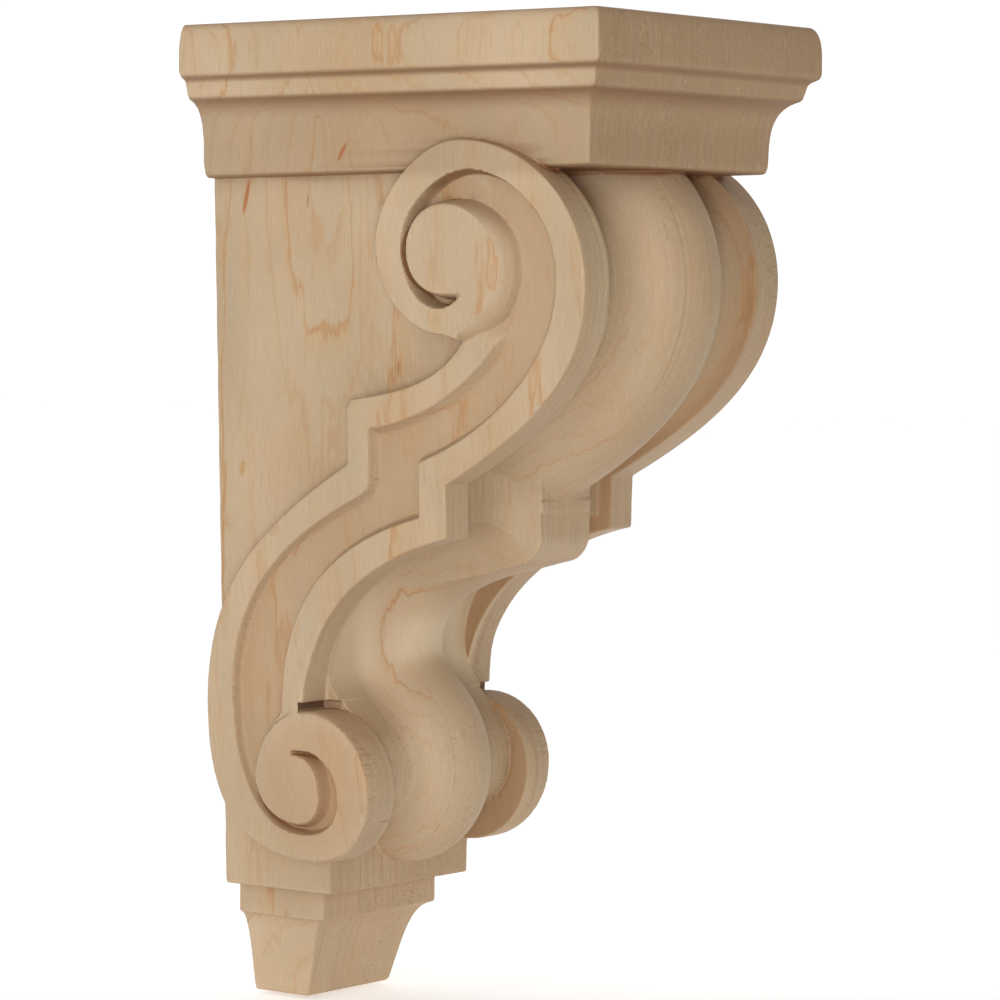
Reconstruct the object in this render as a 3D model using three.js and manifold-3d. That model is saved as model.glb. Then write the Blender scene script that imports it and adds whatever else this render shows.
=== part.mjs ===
// A carved wooden corbel for a kitchen shelf or worktop, all one piece of wood.
// A moulded cap carries the shelf. Under it an S-shaped console stands proud of a flat slab,
// with a big scroll at the top, a step in the middle and a small scroll at the foot.
// Down the front runs a rounded rib between two flat fillets, and a small drop ends the slab.
//
// Units are millimetres. Profiles are drawn looking at the side: "out" is the distance from
// the wall and "up" the height above the tip of the drop. "Across" is the distance from the
// middle plane. The finished part has +Z up, its front towards -Y, and its origin in the
// middle of the flat back, where it meets the wall.

import * as THREE from "three";
import { mergeVertices } from "three/addons/utils/BufferGeometryUtils.js";
import Module from "manifold-3d";

const wasm = await Module();
wasm.setup();

// The whole bracket
const HEIGHT = 330;
const CAP_WIDTH = 126.6;
const CAP_DEPTH = 173.5;

// The cap: a round-topped fascia, a small bead under it, then a cove and a plain band
const CAP_UNDERSIDE = 279;
const FASCIA_FOOT = 315;
const BEAD_FOOT = 306.4;
const COVE_FOOT = 289;
const BEAD_INSET = 3.7;
const BAND_INSET = 12.5;

// The slab and the console narrow evenly from the cap down to the foot
const SLAB_HALF = 45.2;
const RELIEF_HALF = 56;
const NARROWING_PER_MM = 0.0007;
const SLAB_FOOT = 39.5;
const SLAB_FRONT = 46;

// The grooved band in each side of the console, and the band behind it, a little lower
const GROOVE_DEPTH = 5;
const BACK_BAND_DROP = 1;

// The front: flat fillets, a sunk floor beside them, and the rib between
const FILLET_INNER = 42.3;
const FLOOR_DEPTH = 5.5;
const RIB_HEIGHT = 10;
const RIB_RADIUS = 20.5;
const RIB_COVE_RADIUS = 12;
const STEP_FACE_HALF = 14.5;
const STEP_COVE_WIDTH = 12.5;

// The step in the middle of the S, and the undercut stop above the lower scroll
const STEP_OUT = 105.6;
const STEP_TOP = 179;
const STEP_FOOT = 161.5;
const STEP_FOOT_ROUND = 8.5;
const STOP_UP = 104.6;
const STOP_OUT = 45.2;
const STOP_CUT_OUT = 43;
const STOP_CUT_ACROSS = 37.6;

// The lower scroll: a disc whose face lifts away from the console towards its front
const DISC_OUT = 47.5;
const DISC_UP = 76.5;
const DISC_RADIUS = 25.5;
const DISC_ROUND = 2.4;
const DISC_LIFT_SLOPE = 0.085;
const STOP_FLARE = 2.2;

// The rib's own swelling between the lower scrolls
const BULGE_OUT = 47.5;
const BULGE_UP = 80.5;
const BULGE_RADIUS = 23.5;

// The drop under the slab
const DROP_TOP_HALF = 30.5;
const DROP_TOP_OUT = 37.6;
const DROP_TIP_HALF = 21.5;
const DROP_TIP_OUT = 22.8;
const DROP_BLOCK_FOOT = 28.5;
const DROP_OVERLAP = 3;

// How finely the curves are cut
const CURVE_STEPS = 12;
const MOULDING_STEPS = 7;
const DISC_SIDES = 48;
const TURN = Math.PI * 2;

// A closed solid from a geometry whose shared corners are merged.
function solidFrom(geometry) {
  const bare = geometry.clone();
  bare.deleteAttribute("normal");
  bare.deleteAttribute("uv");
  const merged = mergeVertices(bare, 1e-4);
  const faces = [];
  for (let i = 0; i < merged.index.count; i += 3) {
    const [a, b, c] = [0, 1, 2].map((corner) => merged.index.getX(i + corner));
    if (a !== b && b !== c && c !== a) faces.push(a, b, c);
  }
  const mesh = new wasm.Mesh({
    numProp: 3,
    vertProperties: new Float32Array(merged.attributes.position.array),
    triVerts: new Uint32Array(faces),
  });
  return new wasm.Manifold(mesh);
}

// How much narrower the slab and the console are at a height than just under the cap.
function widthAt(up) {
  return 1 - NARROWING_PER_MM * (CAP_UNDERSIDE - up);
}

// Moves every corner of a geometry by a rule on its out, up and across.
function reshape(geometry, rule) {
  const place = geometry.attributes.position;
  for (let i = 0; i < place.count; i += 1) {
    const [out, up, across] = rule(place.getX(i), place.getY(i), place.getZ(i));
    place.setXYZ(i, out, up, across);
  }
  return geometry;
}

function narrowed(geometry) {
  return reshape(geometry, (out, up, across) => [out, up, across * widthAt(up)]);
}

// A side outline cut straight across, from one distance off the middle plane to another.
function sawn(outline, from, to, steps = CURVE_STEPS) {
  const geometry = new THREE.ExtrudeGeometry(outline, {
    depth: to - from,
    steps: 1,
    curveSegments: steps,
    bevelEnabled: false,
  });
  return geometry.translate(0, 0, from);
}

// A front outline, drawn across and up, cut straight back to the wall.
function sawnFromFront(outline, depth, steps = CURVE_STEPS) {
  return sawn(outline, 0, depth, steps).applyMatrix4(
    new THREE.Matrix4().makeBasis(
      new THREE.Vector3(0, 0, -1),
      new THREE.Vector3(0, 1, 0),
      new THREE.Vector3(1, 0, 0),
    ),
  );
}

// Points given as (out, up) pairs, drawn as one smooth curve after another.
function addCurves(path, curves) {
  for (const [a, b, end] of curves) {
    path.bezierCurveTo(a[0], a[1], b[0], b[1], end[0], end[1]);
  }
  return path;
}

// The upper scroll and the front of the console down to the step, from the step upwards.
const UPPER_FRONT = [
  [[134, 194.5], [162.5, 212], [162.5, 244]],
  [[162.5, 271], [139, 290], [112, 290]],
];
const UPPER_SCROLL = [
  [[97, 290], [78, 272], [78, 257]],
  [[78, 244], [87, 227], [106, 227]],
];
// The hollow front of the lower console, from the step down to the stop.
const LOWER_FRONT = [[[73, 154], [STOP_OUT, 135], [STOP_OUT, STOP_UP]]];
// The same for the rib, which has no stop and swells out again between the scrolls.
const RIB_LOWER_FRONT = [
  [[73, 154], [49.5, 142], [49.5, 121]],
  [[49.5, 106], [71, 102], [BULGE_OUT + BULGE_RADIUS, BULGE_UP]],
];
const RIB_BULGE_END = TURN / 3;

function reversed(start, curves) {
  const ends = [start, ...curves.map((curve) => curve[2])];
  return curves.map(([a, b], i) => [b, a, ends[i]]).reverse();
}

// All that lies behind the middle of the groove, which is the band that sits a little lower.
function backBandOutline() {
  const groove = [[112, 222], [84, 192], [84, 180], [50, 160], [22, 130], [19, 106], [17, 84]];
  const points = [[116, 240], ...groove, [24, 68], [38, 61.7], [52, 61.7], [52, 40]];
  points.push([-5, 40], [-5, 200], [60, 225], [100, 226], [106, 226]);
  return new THREE.Shape(points.map(([out, up]) => new THREE.Vector2(out, up)));
}

// The console seen from the side.
function consoleOutline() {
  const outline = new THREE.Shape();
  const inner = DISC_RADIUS - DISC_ROUND * 2;
  outline.moveTo(DISC_OUT, DISC_UP - DISC_RADIUS);
  outline.lineTo(DISC_OUT, DISC_UP - inner);
  outline.absarc(DISC_OUT, DISC_UP, inner, -TURN / 4, TURN / 4, false);
  outline.lineTo(STOP_OUT, DISC_UP + inner);
  outline.lineTo(STOP_OUT, STOP_UP);
  addCurves(outline, reversed([STEP_OUT, STEP_FOOT], LOWER_FRONT));
  outline.lineTo(STEP_OUT, STEP_TOP);
  addCurves(outline, UPPER_FRONT);
  addCurves(outline, UPPER_SCROLL);
  outline.lineTo(113, 226);
  addCurves(outline, [[[102.5, 211.5], [86, 208.5], [66, 206]]]);
  outline.quadraticCurveTo(64, 205.7, 64, 203);
  outline.lineTo(64, 184.7);
  addCurves(outline, [
    [[27.5, 163.5], [0.3, 144], [0.3, 99.5]],
    [[0.3, 73], [8.5, 50], [DISC_OUT, DISC_UP - DISC_RADIUS]],
  ]);
  return outline;
}

// The groove between the console's two bands, which winds into both scrolls.
function grooveOutline() {
  const outline = new THREE.Shape();
  outline.moveTo(39, 88.3);
  addCurves(outline, [
    [[52, 90.5], [58.5, 82], [58.5, 74]],
    [[58.5, 65], [52, 60], [41, 60]],
    [[19, 60], [12, 84], [12, 106]],
    [[12, 145], [44.5, 163], [68, 174]],
  ]);
  outline.quadraticCurveTo(73.3, 176.5, 73.3, 181);
  outline.lineTo(73.3, 196.5);
  addCurves(outline, [
    [[102, 199.5], [117, 210], [131, 235]],
    [[137, 250], [130, 271.5], [109, 271.5]],
    [[98, 271.5], [90.7, 264], [90.7, 256]],
    [[90.7, 249], [98, 239.5], [114, 241]],
  ]);
  outline.lineTo(114.5, 239);
  addCurves(outline, [
    [[97, 233], [88.5, 249], [88.5, 256]],
    [[88.5, 272], [108, 280], [117, 280]],
    [[130, 280], [151, 268], [151, 246]],
    [[151, 219], [124, 196.5], [95, 186]],
  ]);
  outline.lineTo(94.3, 168);
  addCurves(outline, [
    [[56.5, 158.5], [34.5, 138.5], [34.5, 99]],
    [[27.5, 95], [21.5, 86], [21.5, 78]],
    [[21.5, 69], [32, 63], [40, 63]],
    [[47, 63.2], [51.5, 68.5], [51, 76]],
    [[50.3, 83], [46, 87], [39, 87]],
  ]);
  return outline;
}

// The lower scroll's disc, whose face is tilted so that it leaves the back band level.
function discLift(out, up) {
  const along = (out - DISC_OUT + up - DISC_UP) * Math.SQRT1_2 + DISC_RADIUS;
  return Math.max(0, along) * DISC_LIFT_SLOPE - BACK_BAND_DROP;
}

// The disc is turned about its own axis, with its outer arris rounded over.
function disc(side) {
  const flat = RELIEF_HALF - DISC_ROUND;
  const profile = new THREE.Path();
  const inner = FILLET_INNER + 0.15;
  profile.moveTo(0, inner);
  profile.lineTo(DISC_RADIUS, inner);
  profile.lineTo(DISC_RADIUS, flat);
  profile.quadraticCurveTo(DISC_RADIUS, RELIEF_HALF, DISC_RADIUS - DISC_ROUND, RELIEF_HALF);
  profile.lineTo(0, RELIEF_HALF);
  const turned = new THREE.LatheGeometry(profile.getPoints(3), DISC_SIDES);
  turned.rotateX((side * TURN) / 4);
  return solidFrom(
    reshape(turned, (x, y, across) => {
      const [out, up] = [x + DISC_OUT, y + DISC_UP];
      const lift = Math.abs(across) > FILLET_INNER + 1 ? side * discLift(out, up) : 0;
      return [out, up, (across + lift) * widthAt(up)];
    }),
  );
}

// The console's side swells outwards a little over the stop, to meet the disc.
function flare(side) {
  const outline = new THREE.Shape([
    new THREE.Vector2(37, DISC_UP + DISC_RADIUS - DISC_ROUND),
    new THREE.Vector2(STOP_OUT - 0.15, DISC_UP + DISC_RADIUS - DISC_ROUND),
    new THREE.Vector2(STOP_OUT - 0.15, STOP_UP),
    new THREE.Vector2(STOP_OUT - 0.15, STOP_UP + 16),
    new THREE.Vector2(37, STOP_UP + 16),
    new THREE.Vector2(37, STOP_UP),
  ]);
  const [near, far] = [FILLET_INNER + 2, RELIEF_HALF - 0.5];
  const block = side > 0 ? sawn(outline, near, far) : sawn(outline, -far, -near);
  return solidFrom(
    reshape(block, (out, up, across) => {
      const swells = Math.abs(across) > near + 1 && out > STOP_OUT - 1 && up < STOP_UP + 1;
      return [out, up, (across + (swells ? side * (STOP_FLARE + 0.5) : 0)) * widthAt(up)];
    }),
  );
}

// One cheek: the console's relief on one side, with its scrolls, groove and undercut stop.
function cheek(side) {
  const cut = (outline, from, to) =>
    solidFrom(narrowed(side > 0 ? sawn(outline, from, to) : sawn(outline, -to, -from)));
  const beyond = RELIEF_HALF + GROOVE_DEPTH * 2;
  const seat = new THREE.Shape();
  seat.absarc(DISC_OUT, DISC_UP, DISC_RADIUS - DISC_ROUND - 0.3, 0, TURN, false);
  return cut(consoleOutline(), FILLET_INNER, RELIEF_HALF)
    .subtract(cut(backBandOutline(), RELIEF_HALF - BACK_BAND_DROP, beyond))
    .subtract(cut(seat, RELIEF_HALF - BACK_BAND_DROP * 2, beyond))
    .add(flare(side))
    .add(disc(side))
    .subtract(cut(grooveOutline(), RELIEF_HALF - GROOVE_DEPTH, beyond));
}

// The gap under the stop, which runs in past the fillet on both sides.
function stopGap(side) {
  const gap = new THREE.Shape();
  const foot = DISC_UP + Math.sqrt(DISC_RADIUS ** 2 - (STOP_CUT_OUT - DISC_OUT) ** 2);
  gap.moveTo(STOP_CUT_OUT, STOP_UP);
  gap.lineTo(STOP_CUT_OUT, foot);
  gap.lineTo(STOP_OUT + 8, foot);
  gap.lineTo(STOP_OUT + 8, STOP_UP);
  const [near, far] = [STOP_CUT_ACROSS, RELIEF_HALF + STOP_FLARE * 2];
  return solidFrom(narrowed(side > 0 ? sawn(gap, near, far) : sawn(gap, -far, -near)));
}

// The flat slab that the console stands on, hidden inside the rib and the cheeks in front.
function slab() {
  const outline = new THREE.Shape([
    new THREE.Vector2(0, SLAB_FOOT),
    new THREE.Vector2(SLAB_FRONT, SLAB_FOOT),
    new THREE.Vector2(SLAB_FRONT, 66),
    new THREE.Vector2(40, 84),
    new THREE.Vector2(40, 125),
    new THREE.Vector2(56, 150),
    new THREE.Vector2(90, 166),
    new THREE.Vector2(98, 170),
    new THREE.Vector2(98, 182),
    new THREE.Vector2(120, 200),
    new THREE.Vector2(130, 215),
    new THREE.Vector2(130, CAP_UNDERSIDE + DROP_OVERLAP),
    new THREE.Vector2(0, CAP_UNDERSIDE + DROP_OVERLAP),
  ]);
  return solidFrom(narrowed(sawn(outline, -SLAB_HALF, SLAB_HALF)));
}

// How far the front stands off the fillets' face at a distance across: the round rib,
// a cove beside it and the sunk floor.
function ribRise(across) {
  const reach = RIB_RADIUS + RIB_COVE_RADIUS;
  const drop = RIB_RADIUS - RIB_HEIGHT + RIB_COVE_RADIUS - FLOOR_DEPTH;
  const coveAt = Math.sqrt(reach * reach - drop * drop);
  const turns = (coveAt * RIB_RADIUS) / reach;
  if (across <= turns) {
    return RIB_HEIGHT - RIB_RADIUS + Math.sqrt(RIB_RADIUS ** 2 - across ** 2);
  }
  if (across < coveAt) {
    return RIB_COVE_RADIUS - FLOOR_DEPTH - Math.sqrt(RIB_COVE_RADIUS ** 2 - (coveAt - across) ** 2);
  }
  return -FLOOR_DEPTH;
}

// The same at the step, where the rib becomes a flat-faced block with hollow flanks.
function stepRise(across) {
  if (across <= STEP_FACE_HALF) return RIB_HEIGHT;
  const share = (STEP_FACE_HALF + STEP_COVE_WIDTH - across) / STEP_COVE_WIDTH;
  if (share <= 0) return -FLOOR_DEPTH;
  return RIB_HEIGHT - (RIB_HEIGHT + FLOOR_DEPTH) * Math.sqrt(1 - share * share);
}

// How much of the step's own section there is at a height; above it the rib runs on.
function stepShare(up) {
  if (up > STEP_TOP + 0.1) return 0;
  return THREE.MathUtils.smoothstep(up, STEP_FOOT - 18, STEP_FOOT - 2);
}

// The rib's line down the front, from inside the cap to inside the slab.
function ribLine() {
  const path = new THREE.Path();
  const top = UPPER_FRONT[1][2];
  path.moveTo(top[0], top[1]);
  addCurves(path, reversed([STEP_OUT, STEP_TOP], UPPER_FRONT));
  path.lineTo(STEP_OUT, STEP_FOOT);
  addCurves(path, RIB_LOWER_FRONT);
  path.absarc(BULGE_OUT, BULGE_UP, BULGE_RADIUS, 0, -RIB_BULGE_END, true);
  const points = path.getPoints(CURVE_STEPS);
  const step = new THREE.Vector2(STEP_OUT, STEP_FOOT);
  return points.filter((point, i) => {
    if (i > 0 && point.distanceTo(points[i - 1]) < 1e-6) return false;
    const apart = point.distanceTo(step);
    return apart < 1e-6 || apart > STEP_FOOT_ROUND || point.y > STEP_FOOT;
  });
}

// A corner eased over a length on both sides; over no length it stays as it is.
function eased(before, corner, after, reach) {
  const ease = new THREE.QuadraticBezierCurve(
    corner.clone().add(before.clone().sub(corner).setLength(reach)),
    corner,
    corner.clone().add(after.clone().sub(corner).setLength(reach)),
  );
  return ease.getPoints(MOULDING_STEPS);
}

// The direction in which each point of a line moves when the line is set off sideways.
function setOffs(line) {
  return line.map((point, i) => {
    const before = line[Math.max(i - 1, 0)];
    const after = line[Math.min(i + 1, line.length - 1)];
    const sides = [
      [before, point],
      [point, after],
    ]
      .filter(([a, b]) => a !== b)
      .map(([a, b]) => new THREE.Vector2(a.y - b.y, b.x - a.x).normalize());
    const mean = sides.reduce((sum, side) => sum.add(side), new THREE.Vector2()).normalize();
    return mean.divideScalar(mean.dot(sides[0]));
  });
}

// The middle of the front: the rib's line set off by its rise at every distance across.
function front() {
  const across = [];
  const half = [0, 4, 8, 12, 14.5, 16.5, 19, 22, 25, 28, FILLET_INNER + 1];
  for (const distance of half.slice(1).reverse()) across.push(-distance);
  for (const distance of half) across.push(distance);
  const line = ribLine();
  const shifts = setOffs(line);
  const foot = line.findIndex((point) => point.x === STEP_OUT && point.y === STEP_FOOT);
  const back = 25;
  const rows = across.map((distance) => {
    const away = Math.abs(distance);
    const moved = line.map((point, i) => {
      const rise = THREE.MathUtils.lerp(ribRise(away), stepRise(away), stepShare(point.y));
      return point.clone().addScaledVector(shifts[i], rise);
    });
    const bold = (stepRise(away) + FLOOR_DEPTH) / (RIB_HEIGHT + FLOOR_DEPTH);
    const reach = bold > 0.1 ? STEP_FOOT_ROUND * bold : 0;
    moved.splice(foot, 1, ...eased(moved[foot - 1], moved[foot], moved[foot + 1], reach));
    return [...moved, new THREE.Vector2(back, 62), new THREE.Vector2(back, line[0].y)];
  });
  return solidFrom(narrowed(lofted(rows, across)));
}

// The block at the step, which runs straight up into the underside of the upper swelling.
function stepBlock() {
  const outline = new THREE.Shape();
  const half = STEP_FACE_HALF + STEP_COVE_WIDTH;
  const inner = STEP_OUT - RIB_HEIGHT * 2;
  outline.moveTo(half, inner);
  const turns = Array.from({ length: 8 }, (_, i) => half - (STEP_COVE_WIDTH * i) / 7);
  const face = STEP_OUT - 0.08;
  for (const across of turns) outline.lineTo(across, face + stepRise(across));
  for (const across of turns.reverse()) outline.lineTo(-across, face + stepRise(across));
  outline.lineTo(-half, inner);
  const [foot, top] = [STEP_FOOT + RIB_HEIGHT, STEP_TOP + 26];
  const geometry = new THREE.ExtrudeGeometry(outline, {
    depth: top - foot,
    steps: 1,
    bevelEnabled: false,
  });
  geometry.applyMatrix4(
    new THREE.Matrix4().makeBasis(
      new THREE.Vector3(0, 0, 1),
      new THREE.Vector3(1, 0, 0),
      new THREE.Vector3(0, 1, 0),
    ),
  );
  return solidFrom(narrowed(geometry.translate(0, foot, 0)));
}

// A closed skin over rows of points, each row a closed outline at its own distance across.
function lofted(rows, across) {
  const size = rows[0].length;
  const corners = rows.flatMap((row, i) => row.flatMap((p) => [p.x, p.y, across[i]]));
  const faces = [];
  for (let i = 0; i + 1 < rows.length; i += 1) {
    for (let j = 0; j < size; j += 1) {
      const next = (j + 1) % size;
      const [a, b] = [i * size + j, i * size + next];
      const [c, d] = [a + size, b + size];
      faces.push(a, c, b, b, c, d);
    }
  }
  const last = (rows.length - 1) * size;
  const firstLid = THREE.ShapeUtils.triangulateShape(rows[0], []);
  for (const [a, b, c] of firstLid) faces.push(a, c, b);
  const lastLid = THREE.ShapeUtils.triangulateShape(rows[rows.length - 1], []);
  for (const [a, b, c] of lastLid) faces.push(last + a, last + b, last + c);
  const geometry = new THREE.BufferGeometry();
  geometry.setAttribute("position", new THREE.Float32BufferAttribute(corners, 3));
  geometry.setIndex(faces);
  return geometry;
}

// The cap's moulding, drawn as its inset from the widest line, added to an outline that
// starts at the top and is given as a distance from the wall or from the middle plane.
function addCapMoulding(path, reach) {
  const at = (inset) => reach - inset;
  path.quadraticCurveTo(at(0), HEIGHT - 1.5, at(0), HEIGHT - 12);
  path.lineTo(at(0), FASCIA_FOOT);
  path.quadraticCurveTo(at(0.1), FASCIA_FOOT - 2.6, at(1.5), FASCIA_FOOT - 3.2);
  path.quadraticCurveTo(at(3.3), FASCIA_FOOT - 4, at(BEAD_INSET), FASCIA_FOOT - 6);
  path.lineTo(at(BEAD_INSET + 0.8), BEAD_FOOT);
  path.quadraticCurveTo(at(BEAD_INSET + 1), BEAD_FOOT - 1.2, at(BEAD_INSET + 2.3), BEAD_FOOT - 1.8);
  path.quadraticCurveTo(at(BAND_INSET - 0.6), 301, at(BAND_INSET), COVE_FOOT);
  path.lineTo(at(BAND_INSET + 0.2), CAP_UNDERSIDE + 5.5);
  path.quadraticCurveTo(at(BAND_INSET + 0.4), CAP_UNDERSIDE + 0.3, at(BAND_INSET + 5.5), CAP_UNDERSIDE);
}

// The cap is where its side outline and its front outline both hold, which mitres its corners.
function cap() {
  const topInset = 3.1;
  const side = new THREE.Shape();
  side.moveTo(0, CAP_UNDERSIDE);
  side.lineTo(0, HEIGHT);
  side.lineTo(CAP_DEPTH - topInset, HEIGHT);
  addCapMoulding(side, CAP_DEPTH);
  side.lineTo(0, CAP_UNDERSIDE);
  const face = new THREE.Shape();
  const right = new THREE.Path();
  right.moveTo(CAP_WIDTH / 2 - topInset, HEIGHT);
  addCapMoulding(right, CAP_WIDTH / 2);
  const rightPoints = right.getPoints(MOULDING_STEPS);
  const leftPoints = rightPoints.map((p) => new THREE.Vector2(-p.x, p.y)).reverse();
  face.setFromPoints([...rightPoints, ...leftPoints]);
  const sideways = sawn(side, -CAP_WIDTH / 2 - 1, CAP_WIDTH / 2 + 1, MOULDING_STEPS);
  const backwards = sawnFromFront(face, CAP_DEPTH + 1, MOULDING_STEPS);
  return solidFrom(sideways).intersect(solidFrom(backwards));
}

// One side of the drop: a plain block, then a cove that draws in to the tip.
function addDropSide(path, top, tip) {
  const draw = (share) => top + (tip - top) * share;
  path.lineTo(draw(0), DROP_BLOCK_FOOT);
  path.bezierCurveTo(draw(0.5), DROP_BLOCK_FOOT - 1, draw(0.62), 17, draw(0.92), 1.5);
  path.lineTo(draw(1.05), 0);
}

function drop() {
  const high = SLAB_FOOT + DROP_OVERLAP;
  const side = new THREE.Shape();
  side.moveTo(0, high);
  side.lineTo(DROP_TOP_OUT, high);
  addDropSide(side, DROP_TOP_OUT, DROP_TIP_OUT);
  side.lineTo(0, 0);
  const right = new THREE.Path();
  right.moveTo(DROP_TOP_HALF, high);
  addDropSide(right, DROP_TOP_HALF, DROP_TIP_HALF);
  const rightPoints = right.getPoints(MOULDING_STEPS);
  const leftPoints = rightPoints.map((p) => new THREE.Vector2(-p.x, p.y)).reverse();
  const face = new THREE.Shape([...rightPoints, ...leftPoints]);
  const sideways = sawn(side, -DROP_TOP_HALF - 1, DROP_TOP_HALF + 1, MOULDING_STEPS);
  const backwards = sawnFromFront(face, DROP_TOP_OUT + 1, MOULDING_STEPS);
  return solidFrom(sideways).intersect(solidFrom(backwards));
}

// Turns the finished solid from out, up and across into the part's own frame.
function placed(solid) {
  const mesh = solid.getMesh();
  const geometry = new THREE.BufferGeometry();
  geometry.setAttribute("position", new THREE.Float32BufferAttribute(mesh.vertProperties, 3));
  geometry.setIndex(new THREE.Uint32BufferAttribute(mesh.triVerts, 1));
  geometry.applyMatrix4(
    new THREE.Matrix4().makeBasis(
      new THREE.Vector3(0, -1, 0),
      new THREE.Vector3(0, 0, 1),
      new THREE.Vector3(-1, 0, 0),
    ),
  );
  return geometry.translate(0, 0, -HEIGHT / 2);
}

const carving = slab()
  .add(front())
  .add(stepBlock())
  .add(cheek(1))
  .add(cheek(-1))
  .subtract(stopGap(1))
  .subtract(stopGap(-1))
  .add(cap())
  .add(drop());

const maple = new THREE.MeshStandardMaterial({ color: 0xc9b08c, roughness: 0.7, metalness: 0 });
const corbel = new THREE.Mesh(placed(carving), maple);
corbel.name = "corbel";
corbel.geometry.computeVertexNormals();

const group = new THREE.Group();
group.add(corbel);

export default group;
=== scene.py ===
import math

import bpy
import numpy as np
from mathutils import Matrix, Vector


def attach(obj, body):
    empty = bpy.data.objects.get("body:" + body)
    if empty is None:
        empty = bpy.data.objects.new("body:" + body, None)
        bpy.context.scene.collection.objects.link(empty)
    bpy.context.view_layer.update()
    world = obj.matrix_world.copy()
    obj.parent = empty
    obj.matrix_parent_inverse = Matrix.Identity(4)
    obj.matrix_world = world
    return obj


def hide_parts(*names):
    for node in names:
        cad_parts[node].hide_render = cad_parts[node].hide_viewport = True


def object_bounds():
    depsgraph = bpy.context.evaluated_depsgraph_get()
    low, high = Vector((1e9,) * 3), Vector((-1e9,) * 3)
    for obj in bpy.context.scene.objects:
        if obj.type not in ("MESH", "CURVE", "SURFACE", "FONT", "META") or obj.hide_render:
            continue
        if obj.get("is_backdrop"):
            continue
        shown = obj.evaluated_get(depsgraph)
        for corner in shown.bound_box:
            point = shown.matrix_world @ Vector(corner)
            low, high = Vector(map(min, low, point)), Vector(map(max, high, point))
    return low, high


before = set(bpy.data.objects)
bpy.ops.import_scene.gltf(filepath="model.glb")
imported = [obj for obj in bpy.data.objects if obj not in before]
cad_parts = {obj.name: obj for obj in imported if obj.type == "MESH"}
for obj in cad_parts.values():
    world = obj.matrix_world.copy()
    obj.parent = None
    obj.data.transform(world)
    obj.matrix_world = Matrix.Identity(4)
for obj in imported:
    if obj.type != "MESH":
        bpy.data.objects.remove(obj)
packed_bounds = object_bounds()

MM = 0.001

# The whole bracket
HEIGHT = 330.0
CAP_HALF = 63.3
CAP_DEPTH = 173.5
CAP_UNDERSIDE = 279.0
CAP_UNDERSIDE_RISE = 0.0115

# The slab and the console, which narrow towards the foot
SLAB_HALF = 45.2
RELIEF_HALF = 56.0
NARROWING = 0.0007
SLAB_FOOT = 39.0
SLAB_FRONT = 46.1

# Grooves and bands on the side
GROOVE_DEPTH = 5.0
BACK_BAND_DROP = 1.0
EYE_LIFT = 2.7
EYE = (111.0, 255.0)
EYE_TURNS = (-180, -95, -87, -76, -66, -50, -30, -10, 8, 24, 41, 65, 88, 110, 180)
EYE_FLANKS = (1.2, 1.6, 3.0, 4.6, 5.4, 5.8, 5.6, 5.6, 5.2, 4.4, 3.4, 2.4, 1.6, 1.2, 1.2)

# The lower scroll
DISC = (47.5, 76.5)
DISC_RADIUS = 25.5
DISC_ROUND = 2.4
DISC_LIFT_SLOPE = 0.085
STOP_UP = 104.6
STOP_MIDDLE = 100.0
STOP_CUT_OUT = 43.0
STOP_FLARE = 2.2
# The painted shade inside the saw cut: its middle and half size, as out and up, and where it starts
CUT_SHADE_MIDDLE = (44.4, 101.0)
CUT_SHADE_HALF = (2.2, 3.65)
CUT_SHADE_ACROSS = 36.5

# The front
FRONT_HALF = 44.0
FRONT_TOP = 286.0
FILLET_INNER = 42.3
FLOOR_DEPTH = 5.5
HOLLOW_DEPTH = 9.5
RIB_HEIGHT = 10.0
RIB_RADIUS = 20.5
RIB_COVE = 12.0
STEP_OUT = 105.6
STEP_TOP = 179.0
STEP_FOOT = 161.5
STEP_HALF = 14.7
STEP_COVE = 12.0
STEP_BLOCK_RISE = 8.0
STEP_BLOCK_TOP = 206.0
STEP_BLOCK_HALF = 28.0

# How far the arrises and the inner corners are rounded
ARRIS = 0.8
INNER_ARRIS = 0.6
SLAB_ARRIS = 1.2
CAP_FOOT_ARRIS = 1.3
DROP_ARRIS = 0.9
SHARP = 0.5
CORNER = 0.8
WIDE_CORNER = 1.0

# The wood: board edges across the block, and the year rings, whose arches hang down from the
# cap, steeper in front of ARCH_OUT than behind it. Far from there they run at other slopes
BOARD_EDGES = (-10.0, 42.0)
ARCH_OUT = 52.0
ARCH_BACK = 1.43
ARCH_FRONT = 0.57
ARCH_FRONT_FAR = 3.5
ARCH_FRONT_ADDED = 25.0
ARCH_TOP = 285.0
ARCH_DOWN = 3.5
ARCH_TOP_FAR = 201.0
ARCH_DOWN_FAR = 14.0
ARCH_DOWN_ADDED = 24.0
RING_STEP = 6.0
RING_START = 1.05
RING_LEAN = 0.286
# Streaks and broad patches: out, up, half length, half width, lean, colour and strength
STREAKS = (
    (14.4, 272.8, 7.0, 1.1, 0.27, "#B06A36", 0.85),
    (60.7, 286.8, 3.6, 1.1, 0.6, "#A9612F", 0.75),
    (41.3, 271.1, 3.0, 0.35, 0.1, "#8A5A34", 0.7),
    (78.9, 216.3, 3.2, 0.4, 0.1, "#96623A", 0.7),
    (40.7, 171.6, 1.8, 0.45, 0.3, "#96623A", 0.6),
    (1.8, 199.1, 3.0, 0.35, 0.0, "#A87A48", 0.6),
    (10.6, 181.4, 3.2, 1.6, 0.2, "#BC9052", 0.6),
    (31.0, 163.0, 4.0, 4.0, 0.0, "#B98A58", 0.35),
    (47.5, 76.5, 28.0, 28.0, 0.0, "#B5875A", 0.35),
)

# The drop
DROP_HALF = 30.5
DROP_OUT = 37.6
DROP_DRAW_ACROSS = 9.0
DROP_DRAW_OUT = 14.6

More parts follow.
